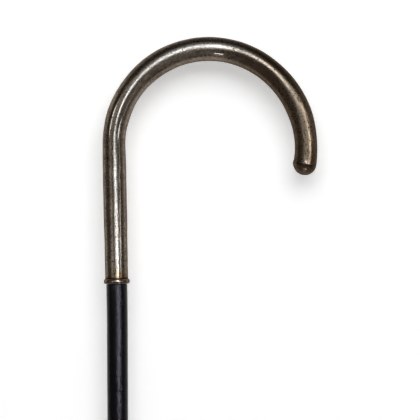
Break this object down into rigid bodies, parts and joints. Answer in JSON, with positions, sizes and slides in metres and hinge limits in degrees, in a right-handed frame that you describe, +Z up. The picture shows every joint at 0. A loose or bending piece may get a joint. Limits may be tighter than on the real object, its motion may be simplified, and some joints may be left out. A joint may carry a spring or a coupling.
{
  "type": "walking stick",
  "caption": "Slim walking stick: a bent tubular metal crook handle with a domed end and a bead at its mouth, on a tapered black wooden shaft with a metal ferrule.",
  "frame": {"origin": "middle of the ferrule's flat foot", "axes": "+Z up along the shaft, +X the way the crook opens, +Y square to the crook's plane"},
  "size_m": [0.1299, 0.0158, 0.8899],
  "materials": {
    "handle_plate": "worn, tarnished silver plate over a copper alloy, rubbed to a soft shine",
    "pitch_filling": "cast dark pitch, hidden",
    "iron_rod": "plain black iron, hidden",
    "ebonised_wood": "ebonised and polished hardwood",
    "ferrule_brass": "aged, dulled brass",
    "ferrule_steel": "worn, scuffed steel"
  },
  "bodies": {
    "root": {"crook_tube": "handle_plate", "end_cap": "handle_plate", "mouth_bead": "handle_plate", "crook_filling": "pitch_filling", "core_rod": "iron_rod", "shaft": "ebonised_wood", "ferrule_sleeve": "ferrule_brass", "ferrule_tip": "ferrule_steel", "ferrule_pin_front": "ferrule_brass", "ferrule_pin_back": "ferrule_brass"}
  },
  "joints": []
}
